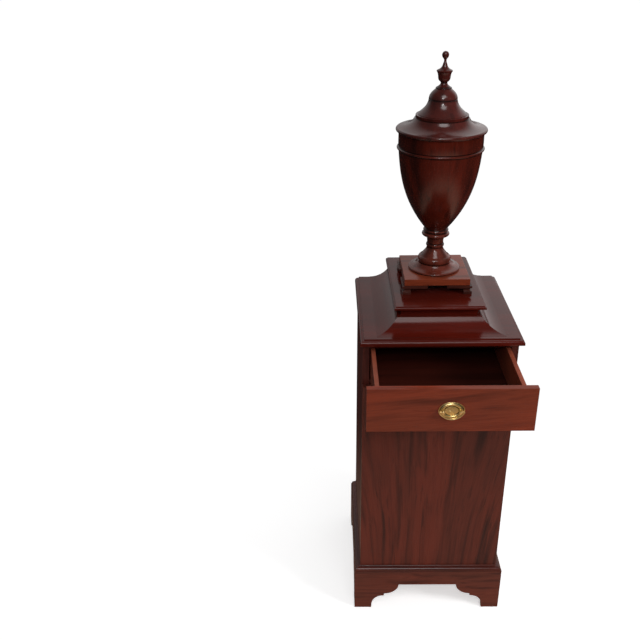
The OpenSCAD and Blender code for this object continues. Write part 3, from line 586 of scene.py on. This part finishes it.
# Lid: a turned cover, bell and finial on a stem that slides in the guide, with
# a small brass catch in the stem that holds the lid up.
lid_nodes = ("lid_cover", "lid_bell", "lid_finial", "lid_stem")
lid_pieces = [turned_piece(node) for node in lid_nodes]
# The hollow rings of cover, bell and finial get old wax and painted shade.
lid_rings = hollows(lid_pieces[:3], [])
lid_wood = wood("lid_mahogany", (74, 27, 22), (44, 17, 14), "z", (0.75, 0.35, 0.95),
                streaks=30, contrast=0.7, polish=0.17, gloss=0.65, waxed_and_shaded=wax_and_shade(lid_rings))
for node, turned in zip(lid_nodes, lid_pieces):
    fit(turned, node, "lid", lid_wood)
catch_arris = 0.0001
for node, body in (("lid_catch", "catch"), ("catch_pin", "lid")):
    dress(node, "_filed", body, cast_brass, catch_arris)


# Floor: a sheet of pale paper under and before the object, which keeps its soft
# shadow. The camera sees the paper lifted to white, and reflections see a warm,
# dimmer sheet that ends not far from the object.
floor_size, floor_drop = 120, 0.0005
sheet_mid, sheet_full, sheet_end = (0.15, -0.75, 0), 0.9, 1.7
paper_grey, far_grey = (0.85, 0.85, 0.85, 1), (0.04, 0.04, 0.04, 1)
paper_mirrored = (0.42, 0.3, 0.22, 1)
white, warm = (1, 1, 1, 1), (1, 0.72, 0.55, 1)
sheet_lift, mirrored_lift = 0.54, 0.25
bpy.ops.object.select_all(action="DESELECT")
bpy.ops.mesh.primitive_plane_add(size=floor_size, location=(0, 0, -floor_drop))
floor = bpy.context.object
floor.name = "floor"
paper = bpy.data.materials.new("floor_paper")
paper.use_nodes = True
tree = paper.node_tree
shader = tree.nodes["Principled BSDF"]
shader.inputs["Roughness"].default_value = 1.0
shader.inputs["Specular IOR Level"].default_value = 0.0
rays = add(tree, "ShaderNodeLightPath").outputs
spot = add(tree, "ShaderNodeTexCoord").outputs["Object"]
away = vectored(tree, spot, sheet_mid, "DISTANCE")
sheet = remap(tree, away, sheet_full, sheet_end, 1, 0)
bounced = figured(tree, rays["Is Glossy Ray"], rays["Is Transmission Ray"], "MAXIMUM")
lit = blended(tree, paper_grey, paper_mirrored, bounced)
tree.links.new(blended(tree, far_grey, lit, sheet), shader.inputs["Base Color"])
lift = remap(tree, sheet, 0, 1, 1.0, sheet_lift, soft=False)
glow = figured(tree, figured(tree, bounced, sheet, "MULTIPLY"), mirrored_lift, "MULTIPLY")
seen = figured(tree, figured(tree, rays["Is Camera Ray"], lift, "MULTIPLY"), glow, "MAXIMUM")
lifted = add(tree, "ShaderNodeEmission")
tree.links.new(blended(tree, white, warm, bounced), lifted.inputs["Color"])
tree.links.new(seen, lifted.inputs["Strength"])
both = add(tree, "ShaderNodeAddShader")
tree.links.new(shader.outputs[0], both.inputs[0])
tree.links.new(lifted.outputs[0], both.inputs[1])
tree.links.new(both.outputs[0], tree.nodes["Material Output"].inputs["Surface"])
floor.data.materials.append(paper)


# Light: a wide round soft box high in front and a small one below it for the
# gleams, one at the right that throws the shadow, one overhead and one behind,
# in a pale room that reflections see brighter at the back and at the right.
for name, place, aim_height, size, power, gleams in (
        ("front_box", (0.1, -2.3, 3.7), 0.9, 1.8, 29, True),
        ("small_box", (-0.45, -3.0, 2.8), 1.0, 0.4, 16, True),
        ("right_box", (2.8, -1.7, 2.3), 0.8, 1.2, 64, False),
        ("top_box", (0.3, 0.4, 4.2), 0.9, 2.0, 18, False),
        ("back_box", (-0.9, 3.0, 2.0), 0.8, 1.6, 20, False)):
    bpy.ops.object.light_add(type="AREA", location=place)
    lamp = bpy.context.object
    lamp.name = name
    lamp.data.shape = "DISK"
    lamp.data.size = size
    lamp.data.energy = power
    lamp.visible_glossy = gleams
    facing = Vector((0, 0, aim_height)) - Vector(place)
    lamp.rotation_euler = facing.to_track_quat("-Z", "Y").to_euler()
room_fill = 0.22
front_level, back_level, left_share, right_share = 0.1, 0.8, 0.65, 1.2
room = bpy.data.worlds.new("room")
bpy.context.scene.world = room
room.use_nodes = True
tree = room.node_tree
backdrop = tree.nodes["Background"]
backdrop.inputs["Color"].default_value = (1, 1, 1, 1)
rays = add(tree, "ShaderNodeLightPath").outputs
split = add(tree, "ShaderNodeSeparateXYZ")
tree.links.new(add(tree, "ShaderNodeTexCoord").outputs["Generated"], split.inputs[0])
depth_level = remap(tree, split.outputs["Y"], 0.15, 0.85, front_level, back_level)
side_share = remap(tree, split.outputs["X"], 0.0, 0.25, left_share, right_share)
bounced = figured(tree, rays["Is Glossy Ray"], rays["Is Transmission Ray"], "MAXIMUM")
level = add(tree, "ShaderNodeMix", data_type="FLOAT", in_2=room_fill)
tree.links.new(bounced, level.inputs[0])
tree.links.new(figured(tree, depth_level, side_share, "MULTIPLY"), level.inputs[3])
strength = figured(tree, level.outputs[0], rays["Is Camera Ray"], "MAXIMUM")
tree.links.new(strength, backdrop.inputs["Strength"])


# Camera: on the photograph's line of sight, above the front and a little left,
# solved on the corners of the pedestal.
stand = (-0.2811, -1.9415, 1.8539)
pitch, yaw, roll = math.radians(26.82), -0.0154, 0.0146
ahead = Vector((math.sin(yaw) * math.cos(pitch), math.cos(yaw) * math.cos(pitch),
                -math.sin(pitch)))
right = Vector((math.cos(yaw), -math.sin(yaw), 0))
above = Vector((math.sin(yaw) * math.sin(pitch), math.cos(yaw) * math.sin(pitch),
                math.cos(pitch)))
axis_x = right * math.cos(roll) - above * math.sin(roll)
axis_y = right * math.sin(roll) + above * math.cos(roll)
bpy.ops.object.camera_add()
camera = bpy.context.object
camera.data.sensor_width = 36
camera.data.lens = 44.231
camera.data.clip_end = 200
turned_to = Matrix((axis_x, axis_y, -ahead)).transposed().to_4x4()
camera.matrix_world = Matrix.Translation(stand) @ turned_to
bpy.context.scene.camera = camera
bpy.context.scene.view_settings.view_transform = "Standard"
